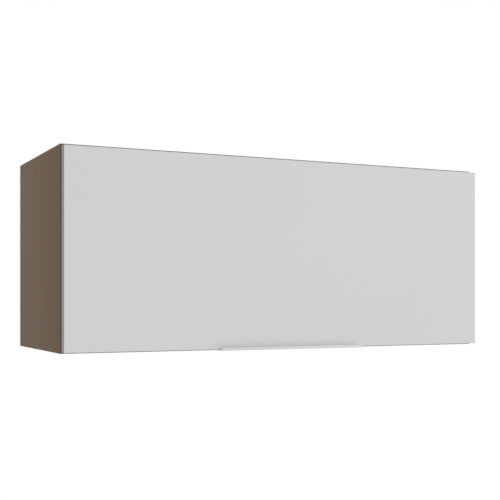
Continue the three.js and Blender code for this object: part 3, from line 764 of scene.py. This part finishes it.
# %% [markdown]
# ## A screw in every hole
# Each place is a point that carries a direction as an attribute named facing. The tree puts the
# screw on each point and turns it to face that way, so screws on a side and on the door need only
# different points. Objects turned one by one would look the same and be harder to change.

# %% Put the screw on points that say where it faces
facing = add(tree, "GeometryNodeInputNamedAttribute", {"Name": "facing"}, data_type="FLOAT_VECTOR")
turn = add(tree, "FunctionNodeAlignRotationToVector", {"Vector": facing.outputs["Attribute"]}, axis="Z")
placed = add(tree, "GeometryNodeInstanceOnPoints",
             {"Points": given["Geometry"], "Instance": screw, "Rotation": turn.outputs["Rotation"]})
close_tree(tree, given, result, placed.outputs["Instances"])


def points_facing(name, places):
    mesh = bpy.data.meshes.new(name)
    mesh.from_pydata([tuple(at) for at, _ in places], [], [])
    way = mesh.attributes.new("facing", "FLOAT_VECTOR", "POINT")
    for index, (_, direction) in enumerate(places):
        way.data[index].vector = direction
    return mesh


# %% [markdown]
# ## The holes
# A screw that sits beside its hole gives a model away. The places are therefore counted from the
# brackets themselves and from the joints of the struts, with the same few distances that the
# brackets were drawn with, and each row goes on the body that its brackets ride on.

# %% Find the holes
SHEET = 2 * MM  # thickness of every bracket
WALL_PITCH = 28 * MM  # between the two holes of a bracket on the box
EAR = 10 * MM  # from the strut's middle plane to the ear of a bracket on the door
DOOR_HOLES = (12 * MM, 26.5 * MM)  # from the ear
HANGER_HOLES = ((16 * MM, 11 * MM), (32 * MM, -11 * MM))  # from the rail, and above the middle
TO_THE_WALL = Vector((0, 1, 0))
joints = {joint["name"]: Vector(joint["pos_m"]) for joint in frame["joints"]}
box_screws, door_screws = [], []


def leg_on_the_side(node, way):
    low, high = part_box(node)
    return low, high, way * (max(abs(low.x), abs(high.x)) - SHEET)


for side, way in SIDES:
    inward = Vector((-way, 0, 0))
    low, high, face = leg_on_the_side(f"strut_wall_bracket_{side}", way)
    middle = (low + high) / 2
    box_screws += [(Vector((face, middle.y + t * WALL_PITCH / 2, middle.z)), inward) for t in (-1, 1)]
    low, high, face = leg_on_the_side(f"hanger_plate_{side}", way)
    middle = (low + high) / 2
    box_screws += [(Vector((face, high.y - back, middle.z + up)), inward) for back, up in HANGER_HOLES]
    low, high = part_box(f"strut_door_bracket_{side}")
    ear = joints[f"strut_rod_swing_{side}"].x - way * EAR
    door_screws += [(Vector((ear - way * reach, low.y + SHEET, (low.z + high.z) / 2)), TO_THE_WALL)
                    for reach in DOOR_HOLES]
grown("box_bracket_screws", tree, SCREW, zinc, "carcass", points_facing("box_places", box_screws))
grown("door_bracket_screws", tree, SCREW, zinc, "door", points_facing("door_places", door_screws))

# %% [markdown]
# ## Turned pieces
# A strut's tube and rod are turned pieces, and in the solids they have as many flats as a simulation
# needs. What shows is turned here again with a finer count, on the same axis and between the same
# ends. A cylinder with modifiers could give the shape too; a list of radius and place along the
# axis, swept round, says the whole shape in one place and can be read like a drawing.

# %% Turn a profile about a strut's axis
AROUND = 48
KEPT_RIM = math.radians(30)  # their flats are finer than those of the solids


def ring(form, radius, along):
    if radius == 0:
        return [form.verts.new((0, 0, along))]
    turns = [2 * math.pi * i / AROUND for i in range(AROUND)]
    return [form.verts.new((radius * math.cos(a), radius * math.sin(a), along)) for a in turns]


def turned(name, profile, start, way):
    mesh = bpy.data.meshes.new(name)
    form = bmesh.new()
    rings = [ring(form, radius, along) for radius, along in profile]
    for inner, outer in zip(rings, rings[1:]):
        for i in range(AROUND):
            k = (i + 1) % AROUND
            around = ((inner, i), (inner, k), (outer, k), (outer, i))
            corners = [loop[step % len(loop)] for loop, step in around]
            form.faces.new(list(dict.fromkeys(corners)))
    bmesh.ops.remove_doubles(form, verts=form.verts, dist=SAME_POINT)
    bmesh.ops.recalc_face_normals(form, faces=form.faces)
    form.to_mesh(mesh)
    form.free()
    mesh.transform(Matrix.Translation(start) @ way.to_track_quat("Z", "Y").to_matrix().to_4x4())
    blend_flats(mesh, KEPT_RIM)
    return new_object(name, mesh)


def reach_of(node, start, way):
    places = [v.co - start for v in nodes[node].data.vertices]
    along = [p.dot(way) for p in places]
    radii = [(p - way * a).length for p, a in zip(places, along)]
    return min(along), max(along), max(radii)


print("a turned piece has", AROUND, "flats, and their normals are blended")

# %% [markdown]
# ## Tube, rod and wiper
# The solids leave out what makes a strut look like one: grooves rolled into the tube, which hold
# the guide at its mouth and the plug at its foot, and the black wiper ring that keeps dust off the
# rod. A bump in the enamel could fake the grooves, but the tube's outline would then stay straight.
# A groove is one wave of a cosine, so it has no sharp rim.

# %% Profiles of a strut
TUBE_WALL = 1.2 * MM
TUBE_CHAMFER = 0.8 * MM
TUBE_FLOOR = 3 * MM
GUIDE = 10 * MM  # bush at the mouth of the tube
ROD_RADIUS = 3 * MM
ROD_FIT = 0.3 * MM
HOLE = ROD_RADIUS + ROD_FIT
PISTON = 8 * MM
FOOT_GROOVE = 6 * MM  # from the foot of the tube
GUIDE_GROOVE = 12 * MM  # from the mouth of the tube
GROOVE_DEPTH = 0.5 * MM
GROOVE_WIDTH = 3 * MM
GROOVE_STEPS = 8
WIPER = (  # out from the hole, and past the mouth
    (0, 0), (0, 0.4 * MM), (0.6 * MM, 0.8 * MM), (1.6 * MM, 0.6 * MM), (2 * MM, 0), (0, 0),
)


def groove(radius, middle):
    for step in range(GROOVE_STEPS + 1):
        share = step / GROOVE_STEPS
        dip = GROOVE_DEPTH * (1 - math.cos(2 * math.pi * share)) / 2
        yield radius - dip, middle + (share - 0.5) * GROOVE_WIDTH


def tube_profile(outer, foot, mouth):
    bore = outer - TUBE_WALL
    return [(0, foot), (outer - TUBE_CHAMFER, foot), (outer, foot + TUBE_CHAMFER),
            *groove(outer, foot + FOOT_GROOVE), *groove(outer, mouth - GUIDE_GROOVE),
            (outer, mouth - TUBE_CHAMFER), (outer - TUBE_CHAMFER, mouth), (HOLE, mouth),
            (HOLE, mouth - GUIDE), (bore, mouth - GUIDE), (bore, foot + TUBE_FLOOR), (0, foot + TUBE_FLOOR)]


def rod_profile(piston, foot, end):
    rim = piston - ROD_FIT
    return [(0, foot), (ROD_RADIUS, foot), (ROD_RADIUS, end - PISTON), (rim, end - PISTON),
            (piston, end - PISTON + ROD_FIT), (piston, end - ROD_FIT), (rim, end), (0, end)]


def wiper_profile(mouth):
    return [(HOLE + out, mouth + past) for out, past in WIPER]


print(f"rod {2 * ROD_RADIUS / MM:.0f} mm thick, in a hole of {2 * HOLE / MM:.1f} mm")

# %% [markdown]
# ## Both struts
# Each strut runs from a ball on the box to a ball on the door. The tube is turned from the upper
# ball downwards and the rod from the lower ball upwards, so that each can follow its own body, and
# the lengths and radii are those of the solids that they stand for.


# %% Make both struts
def seat_on(piece, finish, body):
    dress(piece, finish)
    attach(piece, body)


for side, _ in SIDES:
    upper, lower = joints[f"strut_tube_swing_{side}"], joints[f"strut_rod_swing_{side}"]
    down = (lower - upper).normalized()
    foot, mouth, outer = reach_of(f"strut_tube_{side}", upper, down)
    rod_foot, rod_end, piston = reach_of(f"strut_rod_{side}", lower, -down)
    tube = turned(f"tube_turned_{side}", tube_profile(outer, foot, mouth), upper, down)
    rod = turned(f"rod_turned_{side}", rod_profile(piston, rod_foot, rod_end), lower, -down)
    wiper = turned(f"rod_wiper_{side}", wiper_profile(mouth), upper, down)
    seat_on(tube, enamel, f"tube_{side}")
    seat_on(rod, chrome, f"rod_{side}")
    seat_on(wiper, nylon, f"tube_{side}")
    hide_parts(f"strut_tube_{side}")
    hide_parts(f"strut_rod_{side}")
    print(f"{side} strut: tube {(mouth - foot) / MM:.1f} mm, rod {(rod_end - rod_foot) / MM:.1f} mm")

# %% [markdown]
# ## Camera
# The picture was taken level, from the left, with the cabinet above the middle of the frame. The
# vanishing points of its edges give the angle and the distance. A camera tilted up would show as
# much, but the upright edges would run together. So the lens looks level and the frame is shifted
# up, as a view camera does it.

# %% Camera
FRAME_PIXELS = 500
LENS_PIXELS = 975.22  # the focal length, as the picture's pixels count it
HORIZON_ROW = 298.31  # down from the top of the picture
SENSOR = 36  # millimetres, as Blender counts lenses
CAMERA_X, CAMERA_Y = -792.795 * MM, -1809.067 * MM
CAMERA_RISE = 87.722 * MM  # over the foot of the box
CAMERA_TURN = math.radians(25.533)
camera_data = bpy.data.cameras.new("camera")
camera_data.sensor_width = SENSOR
camera_data.lens = SENSOR * LENS_PIXELS / FRAME_PIXELS
camera_data.shift_y = (HORIZON_ROW - FRAME_PIXELS / 2) / FRAME_PIXELS
camera = new_object("camera", camera_data)
camera.location = (CAMERA_X, CAMERA_Y, CAMERA_RISE - BOX_TOP)
camera.rotation_euler = (QUARTER, 0, -CAMERA_TURN)
bpy.context.scene.camera = camera
print(f"lens {camera_data.lens:.2f} mm, shift {camera_data.shift_y:.4f}")

# %% [markdown]
# ## Surroundings
# Floor and surroundings are white for the camera and for reflections, while what they throw on the
# cabinet is held at a plain level of its own, so a white background costs no brightness on the
# object. The light is that of a soft studio dome: a little from all around and most of it from the
# front, slightly from the right and from above. A lamp could do the same, but only a dome darkens
# the door softly where the pull's ledge shades it from below. That is also why the left side, which
# the bright part of the dome misses, looks darker.

# %% World
AMBIENT = 0.20  # from all around
FRONT = 1.46  # more from the front, a little from the right and from above
FRONT_WAY = Vector((0.42, -0.90, 0.40)).normalized()
FRONT_NARROW = 1.5  # how quickly the front fades to the sides


def seen_directly(tree):
    path = add(tree, "ShaderNodeLightPath").outputs
    mirrored = maths(tree, "MAXIMUM", path["Is Glossy Ray"], path["Is Transmission Ray"])
    return maths(tree, "MAXIMUM", path["Is Camera Ray"], mirrored)


world = bpy.data.worlds.new("plain surroundings")
bpy.context.scene.world = world
tree = empty_tree(world)
looking = add(tree, "ShaderNodeTexCoord").outputs["Generated"]
facing = add(tree, "ShaderNodeVectorMath", {0: looking, 1: FRONT_WAY}, operation="DOT_PRODUCT")
lobe = maths(tree, "POWER", maths(tree, "MAXIMUM", facing.outputs["Value"], 0.0), FRONT_NARROW)
thrown = maths(tree, "ADD", maths(tree, "MULTIPLY", lobe, FRONT), AMBIENT)
levels = {"Factor": seen_directly(tree), "A": thrown, "B": 1.0}
strength = add(tree, "ShaderNodeMix", levels, data_type="FLOAT").outputs[0]
sky = add(tree, "ShaderNodeBackground", {"Color": opaque(1), "Strength": strength})
add(tree, "ShaderNodeOutputWorld", {"Surface": sky.outputs[0]})
print("dome", AMBIENT, "all around,", FRONT, "more from the front")

# %% [markdown]
# ## Soft box
# A dome is at no distance, so it lights the door evenly from one end to the other. In the picture
# the door fades a little towards the left. A weak soft box on the right is near enough to give
# that, and too weak to throw a shadow of its own.

# %% Soft box
LAMP_PLACE = Vector((1.3, -2.3, 0.5))
LAMP_SIZE = 1.2
LAMP_POWER = 4.2
lamp_data = bpy.data.lights.new("soft box", "AREA")
lamp_data.shape = "DISK"
lamp_data.size = LAMP_SIZE
lamp_data.energy = LAMP_POWER
lamp = new_object("soft box", lamp_data)
lamp.location = LAMP_PLACE
lamp.rotation_euler = LAMP_PLACE.to_track_quat("Z", "Y").to_euler()
lamp.visible_camera = False
print(f"soft box {LAMP_SIZE:.1f} m wide, {LAMP_PLACE.length:.2f} m away")

# %% [markdown]
# ## Floor
# The cabinet hangs, so the floor is far below it. A plain pale sheet under this dome would look grey
# from above. So it glows just so much that it meets the white around it without a line. The glow is
# seen by the camera and in reflections only, so that it lights nothing.

# %% Floor
FLOOR_Z = -2.0
FLOOR_HALF = 1.2
FLOOR_SHADE = 0.8
FLOOR_GLOW = 0.60
mesh = bpy.data.meshes.new("floor")
corners = [(x * FLOOR_HALF, y * FLOOR_HALF, FLOOR_Z) for x, y in ((-1, -1), (1, -1), (1, 1), (-1, 1))]
mesh.from_pydata(corners, [], [(0, 1, 2, 3)])
floor = new_object("floor", mesh)
finish = bpy.data.materials.new("white floor")
tree = empty_tree(finish)
matt = add(tree, "ShaderNodeBsdfDiffuse", {"Color": opaque(FLOOR_SHADE)}).outputs[0]
level = maths(tree, "MULTIPLY", seen_directly(tree), FLOOR_GLOW)
glow = add(tree, "ShaderNodeEmission", {"Strength": level})
both = add(tree, "ShaderNodeAddShader", {0: matt, 1: glow.outputs[0]})
add(tree, "ShaderNodeOutputMaterial", {"Surface": both.outputs[0]})
dress(floor, finish)
print("floor", 2 * FLOOR_HALF, "m wide,", -FLOOR_Z, "m down")

# %% [markdown]
# ## Finish
# The colours are shown as they are, without a film look.

# %% The end
bpy.context.scene.view_settings.view_transform = "Standard"
